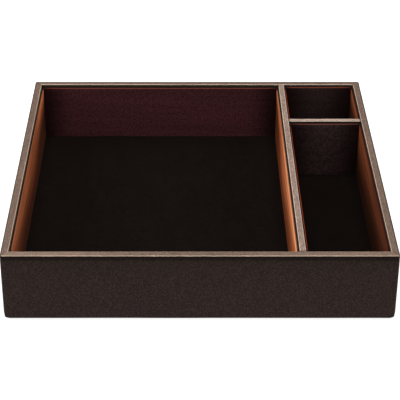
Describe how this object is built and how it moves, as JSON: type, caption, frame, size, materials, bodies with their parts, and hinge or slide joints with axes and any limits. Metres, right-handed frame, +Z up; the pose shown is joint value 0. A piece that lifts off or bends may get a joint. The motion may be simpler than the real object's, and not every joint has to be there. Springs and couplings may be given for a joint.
{
  "type": "desk organizer tray",
  "caption": "Low square leather-covered desk tray with a wide main bay beside a long narrow bay and a small bay, lined in velvet, on a felt base.",
  "frame": {"origin": "centre of the tray's footprint, on the surface that it stands on", "axes": "+X to the side with the narrow bays, +Y to the back, +Z up out of the bays"},
  "size_m": [0.3174, 0.3174, 0.061],
  "materials": {
    "board": "raw fibreboard",
    "leather": "dark brown, fine grain, satin",
    "divider_leather": "brown, fine grain, satin",
    "velvet": "dark red-brown pile",
    "card": "grey board",
    "felt": "dark pressed felt",
    "brad": "bright"
  },
  "bodies": {
    "root": {"back_leather": "leather", "back_wall_board": "board", "base_board": "board", "base_felt": "felt", "corner_brads": "brad", "cross_divider_board": "board", "cross_divider_leather": "divider_leather", "divider_brads": "brad", "front_leather": "leather", "front_wall_board": "board", "left_leather": "leather", "left_wall_board": "board", "long_bay_back_card": "card", "long_bay_back_velvet": "velvet", "long_bay_floor_card": "card", "long_bay_floor_velvet": "velvet", "long_bay_front_card": "card", "long_bay_front_velvet": "velvet", "long_bay_left_card": "card", "long_bay_left_velvet": "velvet", "long_bay_right_card": "card", "long_bay_right_velvet": "velvet", "long_divider_board": "board", "long_divider_leather": "divider_leather", "main_bay_back_card": "card", "main_bay_back_velvet": "velvet", "main_bay_floor_card": "card", "main_bay_floor_velvet": "velvet", "main_bay_front_card": "card", "main_bay_front_velvet": "velvet", "main_bay_left_card": "card", "main_bay_left_velvet": "velvet", "main_bay_right_card": "card", "main_bay_right_velvet": "velvet", "right_leather": "leather", "right_wall_board": "board", "small_bay_back_card": "card", "small_bay_back_velvet": "velvet", "small_bay_floor_card": "card", "small_bay_floor_velvet": "velvet", "small_bay_front_card": "card", "small_bay_front_velvet": "velvet", "small_bay_left_card": "card", "small_bay_left_velvet": "velvet", "small_bay_right_card": "card", "small_bay_right_velvet": "velvet"}
  },
  "joints": []
}
